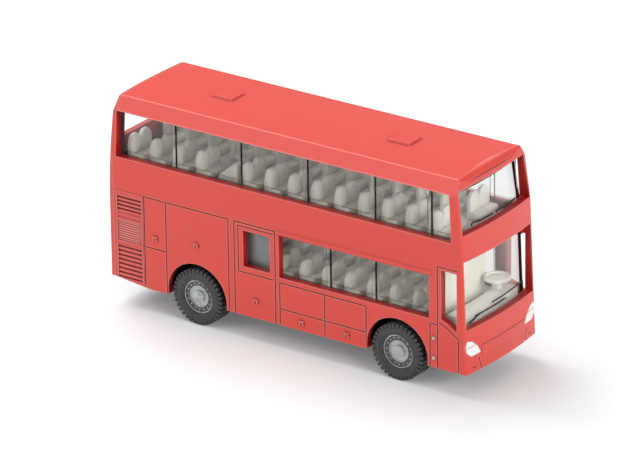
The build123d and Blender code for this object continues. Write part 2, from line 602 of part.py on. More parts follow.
# Lower glazing: a clear wall round the lower deck that carries the upper one
with BuildPart() as lower_glazing:
    add(hull(GLASS_INSET, LOWER_FLOOR_Z + STACK_GAP, BODY_REAR_X + DECK_GAP))
    add(hull(GLASS_INSET + GLASS, LOWER_FLOOR_Z - GLASS, BODY_REAR_X - GLASS), mode=Mode.SUBTRACT)
    with BuildSketch(Plane.XY.offset(UPPER_DECK_Z - STACK_GAP)) as above:
        Rectangle(2 * FAR, 2 * CUT)
    extrude(above.sketch, amount=FAR, mode=Mode.SUBTRACT)
    lower_ribs = evenly(LOWER_WINDOW[0] + LOWER_FIRST_RIB, LOWER_RIB_PITCH, WINDOW_FRONT_X - LOWER_RIB_PITCH / 2)
    add_ribs(lower_ribs, SILL_Z, LOWER_WINDOW_TOP_Z)
lower_glazing.part.label = "lower_glazing"
export_step(lower_glazing.part, "parts/lower_glazing.step")


def add_seats(pairs, floor_z, height):
    """Pairs of seats with thumb-shaped backs, each given by its x and side, in the part in progress."""
    half_back = [(SEAT_WIDTH, 0), (SEAT_WIDTH, height - SEAT_SHOULDER),
                 ((1 - SEAT_TAPER) * SEAT_WIDTH, height - SEAT_CROWN), (SEAT_WIDTH / 2, height),
                 (SEAT_TAPER * SEAT_WIDTH, height - SEAT_CROWN)]
    outline = half_back + [(0, height - SEAT_VALLEY)] + [(-y, z) for y, z in reversed(half_back)]
    for row_x in sorted({x for x, side in pairs}):
        with BuildSketch(Plane.YZ.offset(row_x)) as backs:
            for side in [pair_side for x, pair_side in pairs if x == row_x]:
                Polygon(*[(side * SEAT_PAIR_Y + y, floor_z + z) for y, z in outline], align=None)
        extrude(backs.sketch, amount=SEAT_THICK)
    with BuildSketch(Plane.XY.offset(floor_z)) as cushions:
        cushion_in = SEAT_THICK + SEAT_CUSHION_LENGTH / 2
        with Locations(*[(x + cushion_in, side * SEAT_PAIR_Y) for x, side in pairs]):
            Rectangle(SEAT_CUSHION_LENGTH, 2 * SEAT_WIDTH)
    extrude(cushions.sketch, amount=SEAT_CUSHION_HEIGHT)


# Upper deck: floor, seats and the sloping stair head in one moulding
SEAT_LENGTH = SEAT_THICK + SEAT_CUSHION_LENGTH
with BuildPart() as upper_deck:
    upper_plan = (front_x(UPPER_FLOOR_Z), FRONT_BOW, WALL + DECK_GAP, BODY_REAR_X + DECK_GAP)
    extrude(plan_face(UPPER_DECK_Z, *upper_plan), amount=DECK)
    last_row_x = FRONT_X - UPPER_SEAT_END - SEAT_LENGTH
    upper_rows = evenly(BODY_REAR_X + UPPER_SEAT_START, UPPER_SEAT_PITCH, last_row_x)
    stair_x = upper_rows[STAIR_ROW]
    upper_pairs = [(x, side) for x in upper_rows for side in WHEEL_ENDS.values()]
    upper_pairs.remove((stair_x, -1))
    add_seats(upper_pairs, UPPER_FLOOR_Z, UPPER_SEAT_HEIGHT)
    with BuildSketch(Plane.XZ.offset(SEAT_PAIR_Y - SEAT_WIDTH)) as stair_head:
        stair_end_x = stair_x + STAIR_LENGTH
        Polygon((stair_x, UPPER_FLOOR_Z), (stair_end_x, UPPER_FLOOR_Z),
                (stair_end_x, UPPER_FLOOR_Z + STAIR_TOP), (stair_x, UPPER_FLOOR_Z + STAIR_FOOT), align=None)
    extrude(stair_head.sketch, amount=2 * SEAT_WIDTH)
upper_deck.part.label = "upper_deck"
export_step(upper_deck.part, "parts/upper_deck.step")

# Lower deck: floor, seats, bulkhead, dashboard and steering wheel in one moulding
with BuildPart() as lower_deck:
    lower_plan = (front_x(LOWER_FLOOR_Z), FRONT_BOW, WALL + DECK_GAP, BODY_REAR_X + DECK_GAP)
    extrude(plan_face(LOWER_DECK_Z, *lower_plan), amount=DECK)
    last_row_x = BULKHEAD_X - LOWER_SEAT_END - SEAT_LENGTH
    lower_rows = evenly(AXLES["rear"] + LOWER_SEAT_START, LOWER_SEAT_PITCH, last_row_x)
    lower_pairs = [(x, side) for x in lower_rows for side in WHEEL_ENDS.values()]
    add_seats(lower_pairs, LOWER_FLOOR_Z, LOWER_SEAT_HEIGHT)
    dash_front_x = front_x(LOWER_FLOOR_Z + DASH_HEIGHT)
    dash_rear_x = dash_front_x - FRONT_BOW - DASH_INSET - DASH_LENGTH
    extrude(plan_face(LOWER_FLOOR_Z, dash_front_x, FRONT_BOW, DASH_INSET, dash_rear_x), amount=DASH_HEIGHT)
    with BuildSketch(Plane.XY.offset(LOWER_FLOOR_Z)) as bulkhead:
        bulkhead_y = BODY_HALF_WIDTH - BULKHEAD_FROM_LEFT
        window_face(BULKHEAD_X, DASH_INSET - BODY_HALF_WIDTH, BULKHEAD_X + BULKHEAD, bulkhead_y)
    extrude(bulkhead.sketch, amount=UPPER_DECK_Z - BULKHEAD_HEAD_GAP - LOWER_FLOOR_Z)
    wheel_centre = (FRONT_X - WHEEL_IN, BODY_HALF_WIDTH - WHEEL_FROM_SIDE)
    wheel_z = LOWER_FLOOR_Z + WHEEL_HEIGHT
    with BuildSketch(Plane.XY.offset(LOWER_FLOOR_Z)) as column:
        with Locations(wheel_centre):
            Rectangle(2 * WHEEL_RIM, 2 * WHEEL_RIM)
    extrude(column.sketch, amount=WHEEL_HEIGHT)
    with BuildSketch(Plane.XY.offset(wheel_z)) as rim:
        with Locations(wheel_centre):
            Circle(WHEEL_RIM_RADIUS)
    extrude(rim.sketch, amount=WHEEL_RIM)
    with BuildSketch(Plane.XY.offset(wheel_z + WHEEL_RIM / 2)) as dish:
        with Locations(wheel_centre):
            Circle(WHEEL_RIM_RADIUS - WHEEL_RIM)
    extrude(dish.sketch, amount=WHEEL_RIM, mode=Mode.SUBTRACT)
lower_deck.part.label = "lower_deck"
export_step(lower_deck.part, "parts/lower_deck.step")

# Base plate: flat dark underside with the axle bearings above it
with BuildPart() as base_plate:
    base_front_x = front_x(SKIRT_Z + BASE)
    extrude(plan_face(0, base_front_x, FRONT_BOW, WALL + BASE_GAP, BODY_REAR_X + BASE_GAP), amount=FAR)
    with BuildSketch(Plane.XZ) as base_profile:
        underside = [(FAR, SKIRT_Z), (TAIL_START_X, SKIRT_Z), (BODY_REAR_X, SKIRT_Z + TAIL_RISE)]
        Polygon(*underside, *[(x, z + BASE) for x, z in reversed(underside)], align=None)
    extrude(base_profile.sketch, amount=CUT, both=True, mode=Mode.INTERSECT)
    with BuildSketch(Plane.XY) as bays:
        bay_y = BAY_INNER_Y + CUT / 2
        with Locations(*[(x, side * bay_y) for x in AXLES.values() for side in WHEEL_ENDS.values()]):
            Rectangle(2 * (TYRE_RADIUS + WHEEL_BAY_GAP), CUT)
        with Locations(*[(x, 0) for x in AXLES.values()]):
            Rectangle(AXLE_SLOT, 2 * BEARING_Y)
    extrude(bays.sketch, amount=FAR, mode=Mode.SUBTRACT)
    with BuildSketch(Plane.XY.offset(SKIRT_Z)) as bearings:
        with Locations(*[(x, side * BEARING_Y) for x in AXLES.values() for side in WHEEL_ENDS.values()]):
            Rectangle(BEARING_LENGTH, BEARING_WIDTH)
    extrude(bearings.sketch, amount=AXLE_Z + AXLE_RADIUS + BEARING_WALL - SKIRT_Z)
    with BuildSketch(Plane.XZ) as axle_holes:
        with Locations(*[(x, AXLE_Z) for x in AXLES.values()]):
            Circle(AXLE_RADIUS + AXLE_CLEARANCE)
    extrude(axle_holes.sketch, amount=CUT, both=True, mode=Mode.SUBTRACT)
    with BuildSketch(Plane.XY) as rivet_holes:
        with Locations(*[(x, 0) for x in RIVET_X]):
            Circle(RIVET_RADIUS + RIVET_CLEARANCE)
    extrude(rivet_holes.sketch, amount=FAR, mode=Mode.SUBTRACT)
base_plate.part.label = "base_plate"
export_step(base_plate.part, "parts/base_plate.step")

# Rivets that reach up from the base plate to the lower deck, their spread ends just inside the underside
with BuildPart() as base_rivets:
    with BuildSketch(Plane.XY.offset(SKIRT_Z + STACK_GAP)) as shanks:
        with Locations(*[(x, 0) for x in RIVET_X]):
            Circle(RIVET_RADIUS)
    extrude(shanks.sketch, amount=LOWER_DECK_Z - SKIRT_Z - 2 * STACK_GAP)
base_rivets.part.label = "base_rivets"
export_step(base_rivets.part, "parts/base_rivets.step")

# Wipers: thin dark ribs lying on the two windscreens
for name, (lines, foot_z) in WIPER_SETS.items():
    with BuildSketch(front_sketch_plane()) as wiper_lines:
        line_strips([(y0, foot_z + up0, y1, foot_z + up1) for y0, up0, y1, up1 in lines], WIPER_WIDTH)
    with BuildPart() as wipers:
        add(front_inlay(wiper_lines.sketch, GLASS_INSET - WIPER_PROUD, GLASS_INSET - LAMP_GAP))
    wipers.part.label = name
    export_step(wipers.part, f"parts/{name}.step")

# Headlamps: white inlays let into the front corners
with BuildPart() as headlamps:
    add(front_inlay(lamp_sketch(LAMP_GAP), 0, LAMP_DEPTH - LAMP_GAP))
headlamps.part.label = "headlamps"
export_step(headlamps.part, "parts/headlamps.step")


def wheel_section(axle_x, side):
    """Plane through a wheel's axis: local x is the radius, local y points out of the bus."""
    return Plane(origin=(axle_x, side * TYRE_FACE_Y, AXLE_Z), x_dir=(1, 0, 0), z_dir=(0, 0, side))


# Each axle carries two pressed-on hubs, and each hub a lugged tyre
for end, axle_x in AXLES.items():
    spin = Axis((axle_x, 0, AXLE_Z), (0, 1, 0))
    axle_end_y = TYRE_FACE_Y - HUB_SET_BACK - HUB_WIDTH + HUB_BORE_DEPTH - AXLE_PRESS_GAP
    with BuildPart() as axle:
        with BuildSketch(Plane.XZ) as pin:
            with Locations((axle_x, AXLE_Z)):
                Circle(AXLE_RADIUS)
        extrude(pin.sketch, amount=axle_end_y, both=True)
    axle.part.label = f"{end}_axle"
    export_step(axle.part, f"parts/{end}_axle.step")
    for hand, side in WHEEL_ENDS.items():
        tyre_bore = TYRE_RADIUS - TYRE_SECTION
        rim = tyre_bore - HUB_FIT
        bore = AXLE_RADIUS + AXLE_PRESS_GAP
        face = -HUB_SET_BACK
        back = face - HUB_WIDTH
        with BuildPart() as hub:
            with BuildSketch(wheel_section(axle_x, side)) as hub_profile:
                Polygon((bore, back), (rim, back), (rim, face), (HUB_BOSS_RADIUS, face - HUB_DISH),
                        (HUB_BOSS_RADIUS, face + HUB_BOSS_PROUD), (0, face + HUB_BOSS_PROUD),
                        (0, back + HUB_BORE_DEPTH), (bore, back + HUB_BORE_DEPTH), align=None)
            revolve(axis=spin)
        hub.part.label = f"{end}_{hand}_hub"
        export_step(hub.part, f"parts/{end}_{hand}_hub.step")

        with BuildPart() as tyre:
            tread_origin = (axle_x, side * TYRE_FACE_Y, AXLE_Z)
            tread_face = Plane(origin=tread_origin, x_dir=(1, 0, 0), z_dir=(0, -side, 0))
            with BuildSketch(tread_face) as tread:
                Circle(TYRE_RADIUS)
                Circle(tyre_bore, mode=Mode.SUBTRACT)
                with PolarLocations(TYRE_RADIUS, LUG_COUNT, start_angle=180 / LUG_COUNT):
                    Rectangle(2 * LUG_DEPTH, LUG_GAP, mode=Mode.SUBTRACT)
            extrude(tread.sketch, amount=TYRE_WIDTH)
        tyre.part.label = f"{end}_{hand}_tyre"
        export_step(tyre.part, f"parts/{end}_{hand}_tyre.step")
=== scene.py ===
import math

import bpy
from mathutils import Euler, Matrix, Vector


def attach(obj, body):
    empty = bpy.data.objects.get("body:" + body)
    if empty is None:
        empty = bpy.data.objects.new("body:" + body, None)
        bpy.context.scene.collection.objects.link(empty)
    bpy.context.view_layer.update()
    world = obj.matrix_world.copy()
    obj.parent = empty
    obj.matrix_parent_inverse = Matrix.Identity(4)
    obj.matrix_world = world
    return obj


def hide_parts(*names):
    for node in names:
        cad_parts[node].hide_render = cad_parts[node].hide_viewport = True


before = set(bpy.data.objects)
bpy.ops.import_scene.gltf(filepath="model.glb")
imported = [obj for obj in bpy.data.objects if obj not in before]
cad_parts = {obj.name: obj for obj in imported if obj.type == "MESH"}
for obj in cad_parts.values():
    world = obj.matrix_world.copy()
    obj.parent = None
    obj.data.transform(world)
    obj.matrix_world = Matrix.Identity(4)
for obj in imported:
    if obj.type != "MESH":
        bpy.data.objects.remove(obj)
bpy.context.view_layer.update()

bpy.ops.object.select_all(action="DESELECT")

# Body casting: one zinc die casting, sprayed red and baked to a semi-gloss film.
# The film rounds every edge; a paler pink painted along the sharp corners is a painted highlight.
# Deeper red painted under the sills and in the panel lines is painted shade.
RED = (0.74, 0.062, 0.044, 1.0)
RED_PAINTED_SHADE = (0.40, 0.007, 0.006, 1.0)
RED_GROOVE_SHADE = (0.30, 0.010, 0.008, 1.0)
RED_EDGE_HIGHLIGHT = (0.92, 0.40, 0.36, 1.0)
SHADE_REACH, SHADE_SPAN = 0.0036, (0.64, 0.97)
GROOVE_REACH, GROOVE_SPAN = 0.0005, (0.20, 0.75)
EDGE_REACH, EDGE_SPAN, EDGE_HIGHLIGHT_MIX = 0.00026, (0.35, 0.90), (0.65, 0.0)
PAINT_ROUGHNESS = (0.285, 0.345)
CASTING_EDGE = 0.00022
FULL_SPAN = (0.0, 1.0)
MIX_FACTOR, MIX_A, MIX_B, MIX_RESULT = 0, 6, 7, 2


def wire(finish, from_node, output, to_node, socket):
    """Joins one output of a shader node to an input of another."""
    finish.node_tree.links.new(from_node.outputs[output], to_node.inputs[socket])


def new_finish(name):
    """A fresh material with its Principled shader and the object's own coordinates."""
    finish = bpy.data.materials.new(name)
    finish.use_nodes = True
    shader = finish.node_tree.nodes["Principled BSDF"]
    place = finish.node_tree.nodes.new("ShaderNodeTexCoord")
    return finish, shader, place


def grain(finish, place, specks, detail):
    """Noise at a scale given in specks per metre."""
    noise = finish.node_tree.nodes.new("ShaderNodeTexNoise")
    noise.inputs["Scale"].default_value = specks
    noise.inputs["Detail"].default_value = detail
    wire(finish, place, "Object", noise, "Vector")
    return noise


def spread(finish, source, output, span_in, span_out, to_node, socket):
    """Carries a value from one span to another on its way to a socket."""
    span = finish.node_tree.nodes.new("ShaderNodeMapRange")
    span.inputs["From Min"].default_value, span.inputs["From Max"].default_value = span_in
    span.inputs["To Min"].default_value, span.inputs["To Max"].default_value = span_out
    wire(finish, source, output, span, "Value")
    wire(finish, span, "Result", to_node, socket)


def blend_tones(finish, tone_a, tone_b):
    """A mix of two colours, each either a fixed colour or another mix."""
    mix = finish.node_tree.nodes.new("ShaderNodeMix")
    mix.data_type = "RGBA"
    for socket, tone in ((MIX_A, tone_a), (MIX_B, tone_b)):
        if isinstance(tone, tuple):
            mix.inputs[socket].default_value = tone
        else:
            wire(finish, tone, MIX_RESULT, mix, socket)
    return mix


def ripple(finish, shader, source, strength, depth, under=None):
    """A fine unevenness of the surface, laid over rounded edges where they are given."""
    bump = finish.node_tree.nodes.new("ShaderNodeBump")
    bump.inputs["Strength"].default_value = strength
    bump.inputs["Distance"].default_value = depth
    wire(finish, source, "Fac", bump, "Height")
    if under is not None:
        wire(finish, under, "Normal", bump, "Normal")
    wire(finish, bump, "Normal", shader, "Normal")


def hollows(finish, reach, inside):
    """How open the surface lies: low in grooves, or low along outer edges when looked at from inside."""
    openness = finish.node_tree.nodes.new("ShaderNodeAmbientOcclusion")
    openness.inputs["Distance"].default_value = reach
    openness.samples = 8
    openness.inside = inside
    return openness


def paint_finish(name, edge_radius):
    """Red film over rounded edges, with painted shade in its hollows and grooves and a painted highlight on
    its sharp edges.
    """
    finish, shader, place = new_finish(name)
    cloud = grain(finish, place, specks=60.0, detail=1.0)
    peel = grain(finish, place, specks=5200.0, detail=1.0)
    # Painted shade: deeper red wherever the surface lies sheltered, as under the sills.
    shaded_red = blend_tones(finish, RED_PAINTED_SHADE, RED)
    shade_mask = hollows(finish, SHADE_REACH, inside=False)
    spread(finish, shade_mask, "AO", SHADE_SPAN, FULL_SPAN, shaded_red, MIX_FACTOR)
    # Painted shade: darker red again in the panel lines and other narrow grooves.
    groove_shaded_red = blend_tones(finish, RED_GROOVE_SHADE, shaded_red)
    groove_shade_mask = hollows(finish, GROOVE_REACH, inside=False)
    spread(finish, groove_shade_mask, "AO", GROOVE_SPAN, FULL_SPAN, groove_shaded_red, MIX_FACTOR)
    # Painted highlight: paler pink along the sharp outer edges.
    highlighted_red = blend_tones(finish, groove_shaded_red, RED_EDGE_HIGHLIGHT)
    edge_highlight_mask = hollows(finish, EDGE_REACH, inside=True)
    spread(finish, edge_highlight_mask, "AO", EDGE_SPAN, EDGE_HIGHLIGHT_MIX, highlighted_red, MIX_FACTOR)
    wire(finish, highlighted_red, MIX_RESULT, shader, "Base Color")
    spread(finish, cloud, "Fac", FULL_SPAN, PAINT_ROUGHNESS, shader, "Roughness")
    soft_edge = finish.node_tree.nodes.new("ShaderNodeBevel")
    soft_edge.samples = 6
    soft_edge.inputs["Radius"].default_value = edge_radius
    ripple(finish, shader, peel, strength=0.01, depth=0.00004, under=soft_edge)
    return finish


def dress(node, finish):
    """Puts a finish on a CAD node as it stands."""
    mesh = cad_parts[node].data
    mesh.materials.clear()
    mesh.materials.append(finish)


red_paint = paint_finish("red_paint", CASTING_EDGE)
dress("body_shell", red_paint)

# Engine grilles: a bed of fine ribs on both sides, cast with the body behind the rear wheels.
# Each has nine level ribs, tied by thinner uprights that lie a little deeper.
GRILLE_REAR, GRILLE_FRONT = -0.03925, -0.03365
GRILLE_FOOT, GRILLE_HEAD = 0.01345, 0.01770
GRILLE_BED, GRILLE_FACE = 0.01160, 0.01173
RIB_COUNT, RIB_SHARE, RIB_ROUNDING = 9, (0.25, 0.75), 0.00005
UPRIGHT_COUNT, UPRIGHT_SHARE, UPRIGHT_ROUNDING = 12, (0.40, 0.60), 0.00003
UPRIGHT_SET_BACK = 0.00005
SHARP_ANGLE, SMOOTH_ANGLE = math.radians(35.0), math.radians(40.0)


def add_block(name, low, high):
    """A block between two corners, the start of a cast or moulded piece."""
    middle = [(a + b) / 2 for a, b in zip(low, high)]
    bpy.ops.mesh.primitive_cube_add(size=1.0, location=middle)
    block = bpy.context.object
    block.name = name
    bpy.ops.transform.resize(value=[b - a for a, b in zip(low, high)])
    bpy.ops.object.transform_apply(location=True, rotation=True, scale=True)
    return block


def smooth_between(piece):
    """Shades a piece smooth between its sharp edges."""
    bpy.ops.object.select_all(action="DESELECT")
    piece.select_set(True)
    bpy.ops.object.shade_smooth_by_angle(angle=SMOOTH_ANGLE)
    piece.select_set(False)


def soften(piece, width, segments):
    """Rounds every sharp edge of a piece and shades it smooth between them."""
    bpy.context.view_layer.objects.active = piece
    edge = piece.modifiers.new("soft_edge", "BEVEL")
    edge.width = width
    edge.segments = segments
    edge.limit_method = "ANGLE"
    edge.angle_limit = SHARP_ANGLE
    bpy.ops.object.modifier_apply(modifier=edge.name)
    smooth_between(piece)


def copy_of(piece, name, move):
    """Another of the same piece, moved, with a mesh of its own."""
    twin = piece.copy()
    twin.data = piece.data.copy()
    twin.name = name
    bpy.context.collection.objects.link(twin)
    twin.data.transform(move)
    return twin


def join(name, pieces):
    """Makes one moulding of several pieces."""
    bpy.ops.object.select_all(action="DESELECT")
    for piece in pieces:
        piece.select_set(True)
    bpy.context.view_layer.objects.active = pieces[0]
    bpy.ops.object.join()
    moulding = bpy.context.object
    moulding.name = name
    moulding.select_set(False)
    return moulding


rib_pitch = (GRILLE_HEAD - GRILLE_FOOT) / RIB_COUNT
upright_pitch = (GRILLE_FRONT - GRILLE_REAR) / UPRIGHT_COUNT
rib_foot, rib_head = [GRILLE_FOOT + share * rib_pitch for share in RIB_SHARE]
upright_rear, upright_front = [GRILLE_REAR + share * upright_pitch for share in UPRIGHT_SHARE]
for hand, side in (("right", -1), ("left", 1)):
    rib_low, rib_high = sorted((side * GRILLE_FACE, side * GRILLE_BED))
    deep_low, deep_high = sorted((side * (GRILLE_FACE - UPRIGHT_SET_BACK), side * GRILLE_BED))
    rib = add_block("grille_rib", (GRILLE_REAR, rib_low, rib_foot), (GRILLE_FRONT, rib_high, rib_head))
    soften(rib, RIB_ROUNDING, segments=2)
    upright = add_block("grille_upright", (upright_rear, deep_low, GRILLE_FOOT),
                        (upright_front, deep_high, GRILLE_HEAD))
    soften(upright, UPRIGHT_ROUNDING, segments=1)
    ribs = [copy_of(rib, "grille_rib", Matrix.Translation((0.0, 0.0, i * rib_pitch)))
            for i in range(1, RIB_COUNT)]
    uprights = [copy_of(upright, "grille_upright", Matrix.Translation((i * upright_pitch, 0.0, 0.0)))
                for i in range(1, UPRIGHT_COUNT)]
    grille = join(f"{hand}_engine_grille", [rib, upright] + ribs + uprights)
    grille.data.materials.append(red_paint)
    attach(grille, "bus")

# Hinge pins: two bright domed pins on the right side, in the strip just behind the cab.
# Bare zinc alloy, rubbed bright where fingers pass.
PIN_PLACES = ((0.0331, 0.0107), (0.0331, 0.0067))
PIN_SIZE, PIN_ROUNDING = 0.00062, 0.00022
PIN_FACE, PIN_FOOT = -0.01212, -0.01170
ZINC_DULL, ZINC_BRIGHT = (0.50, 0.50, 0.51, 1.0), (0.74, 0.74, 0.75, 1.0)
NOISE_SPAN = (0.3, 0.7)


def tint(finish, shader, cloud, tone_a, tone_b, span=NOISE_SPAN):
    """Clouds the colour of a finish between two tones."""
    tone = blend_tones(finish, tone_a, tone_b)
    spread(finish, cloud, "Fac", span, FULL_SPAN, tone, MIX_FACTOR)
    wire(finish, tone, MIX_RESULT, shader, "Base Color")


bare_metal, bare, bare_place = new_finish("bare_metal")
bare.inputs["Metallic"].default_value = 1.0
tint(bare_metal, bare, grain(bare_metal, bare_place, specks=2200.0, detail=3.0), ZINC_DULL, ZINC_BRIGHT)
bare_cloud = grain(bare_metal, bare_place, specks=1200.0, detail=2.0)
spread(bare_metal, bare_cloud, "Fac", NOISE_SPAN, (0.29, 0.42), bare, "Roughness")
ripple(bare_metal, bare, bare_cloud, strength=0.10, depth=0.00005)

pins = []
for pin_x, pin_z in PIN_PLACES:
    pin = add_block("hinge_pin", (pin_x - PIN_SIZE / 2, PIN_FACE, pin_z - PIN_SIZE / 2),
                    (pin_x + PIN_SIZE / 2, PIN_FOOT, pin_z + PIN_SIZE / 2))
    soften(pin, PIN_ROUNDING, segments=4)
    pins.append(pin)
hinge_pins = join("hinge_pins", pins)
hinge_pins.data.materials.append(bare_metal)
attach(hinge_pins, "bus")

# Rear panel: moulded in red plastic and pushed into the open end of the casting.
# Its colour matches the sprayed metal beside it; its edges are a little sharper.
PANEL_EDGE = 0.00018

# The same painted shade in its hollows and grooves and painted highlight on its edges as the casting.
red_plastic = paint_finish("red_plastic", PANEL_EDGE)
dress("rear_panel", red_plastic)

# Glazing: two clear styrene mouldings, faintly grey, dropped into the casting from below.
# Their moulded faces are not quite flat, so what shows through them swims a little.
GLASS_TINT, GLASS_SHADE = (0.885, 0.885, 0.875, 1.0), (0.94, 0.94, 0.93, 1.0)
GLASS_INDEX, GLASS_ROUGHNESS = 1.42, (0.015, 0.05)

clear_plastic, clear, clear_place = new_finish("clear_plastic")
clear.inputs["Base Color"].default_value = GLASS_TINT
clear.inputs["Transmission Weight"].default_value = 1.0
clear.inputs["IOR"].default_value = GLASS_INDEX
clear_cloud = grain(clear_plastic, clear_place, specks=160.0, detail=2.0)
spread(clear_plastic, clear_cloud, "Fac", NOISE_SPAN, GLASS_ROUGHNESS, clear, "Roughness")
ripple(clear_plastic, clear, clear_cloud, strength=0.03, depth=0.0003)
clear_nodes = clear_plastic.node_tree.nodes
passing = clear_nodes.new("ShaderNodeBsdfTransparent")
passing.inputs["Color"].default_value = GLASS_SHADE
rays = clear_nodes.new("ShaderNodeLightPath")
choice = clear_nodes.new("ShaderNodeMixShader")
wire(clear_plastic, rays, "Is Shadow Ray", choice, "Fac")
wire(clear_plastic, clear, "BSDF", choice, 1)
wire(clear_plastic, passing, "BSDF", choice, 2)
wire(clear_plastic, choice, "Shader", clear_nodes["Material Output"], "Surface")
dress("upper_glazing", clear_plastic)
dress("lower_glazing", clear_plastic)

# Wipers: thin raised lines moulded on the screens and wiped with black ink.
# The ink lies matt and a little uneven.
INK_DARK, INK_PALE = (0.014, 0.014, 0.015, 1.0), (0.035, 0.035, 0.036, 1.0)

wiper_black, wiper, wiper_place = new_finish("wiper_black")
wiper_cloud = grain(wiper_black, wiper_place, specks=900.0, detail=2.0)
tint(wiper_black, wiper, wiper_cloud, INK_DARK, INK_PALE)
spread(wiper_black, wiper_cloud, "Fac", NOISE_SPAN, (0.4, 0.6), wiper, "Roughness")
dress("upper_wipers", wiper_black)
dress("lower_wipers", wiper_black)

# Glazing shadow lines: black strips painted where shadow lines fall, where the clear mouldings meet the
# casting and along both edges of each rib.
# On the toy they are the shadow in gaps and moulded corners, about a tenth of a millimetre wide; here that
# shadow is painted as black strips.
# A wider black strip of painted shade closes the rear end of the upper panes.
SEAM_WIDTH, SEAM_ROUNDING = 0.00013, 0.00002
SEAM_SUNK, SEAM_PROUD = 0.00003, 0.00006
GLASS_FACE = 0.01020
FOOT_RISE, LEDGE_RISE, HEAD_DROP, FRONT_SET_BACK = 0.00005, 0.00095, 0.00020, 0.00020
RIB_EDGE = 0.00047
REAR_STRIP = 0.0008
UPPER_REAR, UPPER_FOOT, UPPER_HEAD = -0.03910, 0.0305, 0.0399
UPPER_PANES = (UPPER_REAR, 0.03680, UPPER_FOOT, UPPER_HEAD, (-0.02650, -0.01137, 0.00376, 0.01889, 0.03140))
LOWER_PANES = {-1: (-0.00180, 0.03200, 0.0144, 0.0230, (0.0087, 0.0189)),
               1: (-0.01200, 0.03200, 0.0144, 0.0230, (0.0087, 0.0189))}

shadow_lines = []
for side in (-1, 1):
    near_y, far_y = sorted((side * (GLASS_FACE - SEAM_SUNK), side * (GLASS_FACE + SEAM_PROUD)))
    for rear_x, front_x, foot_z, head_z, rib_places in (UPPER_PANES, LOWER_PANES[side]):
        levels = ((foot_z + FOOT_RISE, SEAM_WIDTH), (foot_z + LEDGE_RISE, SEAM_WIDTH / 2),
                  (head_z - HEAD_DROP, SEAM_WIDTH))
        for level, width in levels:
            shadow_lines.append(add_block("shadow_line", (rear_x, near_y, level), (front_x, far_y, level + width)))
        uprights = [rib_x + edge * RIB_EDGE for rib_x in rib_places for edge in (-1, 1)]
        for upright_x in uprights + [front_x - FRONT_SET_BACK]:
            shadow_lines.append(add_block("shadow_line", (upright_x - SEAM_WIDTH / 2, near_y, foot_z),
                                   (upright_x + SEAM_WIDTH / 2, far_y, head_z)))
    shadow_lines.append(add_block("shadow_line", (UPPER_REAR, near_y, UPPER_FOOT),
                           (UPPER_REAR + REAR_STRIP, far_y, UPPER_HEAD)))
glazing_shadow_lines = join("glazing_shadow_lines", shadow_lines)
soften(glazing_shadow_lines, SEAM_ROUNDING, segments=1)
glazing_shadow_lines.data.materials.append(wiper_black)
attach(glazing_shadow_lines, "bus")

# Upper deck: floor, rows of thumb-shaped seats in pairs and a sloping stair head, in one moulding.
# Pale milky plastic, satin from the mould, with painted shade darkening it in its hollows.
SEAT_WIDTH, SEAT_THICK, SEAT_ROUNDING = 0.003325, 0.0012, 0.00034
SEAT_SHOULDER = 0.62
SEAT_TAPER = ((0.16, 0.90, 0.97), (0.13, 0.74, 0.92), (0.09, 0.44, 0.82))
CUSHION_LENGTH, CUSHION_HEIGHT, CUSHION_ROUNDING = 0.0020, 0.0015, 0.00040
CUSHION_OVERLAP = 0.2
AISLE_HALF_WIDTH = 0.0023
DECK_REAR, DECK_HALF_WIDTH, DECK_ROUNDING = -0.0401, 0.01015, 0.00010
DECK_BOW, BOW_NARROWING = 0.0008, 0.55
UPPER_FLOOR, UPPER_UNDERSIDE, UPPER_FRONT = 0.0289, 0.0280, 0.0376
UPPER_SEAT_HEIGHT = 0.0053
UPPER_ROWS = [-0.03855 + 0.0053 * i for i in range(14)]
STAIR_ROW = 4
STAIR_LENGTH, STAIR_HEIGHT, STAIR_SLOPE = 0.0043, 0.0053, 0.0034
STAIR_OUTSIDE, STAIR_ROUNDING = -0.00895, 0.00045
SEAT_TONES = (0.86, 0.845, 0.765, 1.0), (0.92, 0.90, 0.82, 1.0)
SEAT_PAINTED_SHADE = (0.62, 0.61, 0.545, 1.0)
SEAT_SHADE_REACH, SEAT_SHADE_SPAN = 0.0028, (0.10, 0.65)
FACING = 0.9
NEAR = 0.0001

seat_plastic, seat_shader, seat_place = new_finish("seat_plastic")
seat_cloud = grain(seat_plastic, seat_place, specks=260.0, detail=2.0)
seat_unshaded = blend_tones(seat_plastic, *SEAT_TONES)
spread(seat_plastic, seat_cloud, "Fac", NOISE_SPAN, FULL_SPAN, seat_unshaded, MIX_FACTOR)
# Painted shade: the seat plastic turns darker in its hollows, between the seats and under them.
seat_tone_with_shade = blend_tones(seat_plastic, SEAT_PAINTED_SHADE, seat_unshaded)
seat_shade_mask = hollows(seat_plastic, SEAT_SHADE_REACH, inside=False)
spread(seat_plastic, seat_shade_mask, "AO", SEAT_SHADE_SPAN, FULL_SPAN, seat_tone_with_shade, MIX_FACTOR)
wire(seat_plastic, seat_tone_with_shade, MIX_RESULT, seat_shader, "Base Color")
spread(seat_plastic, seat_cloud, "Fac", NOISE_SPAN, (0.42, 0.56), seat_shader, "Roughness")
seat_grain = grain(seat_plastic, seat_place, specks=3000.0, detail=2.0)
ripple(seat_plastic, seat_shader, seat_grain, strength=0.06, depth=0.00005)


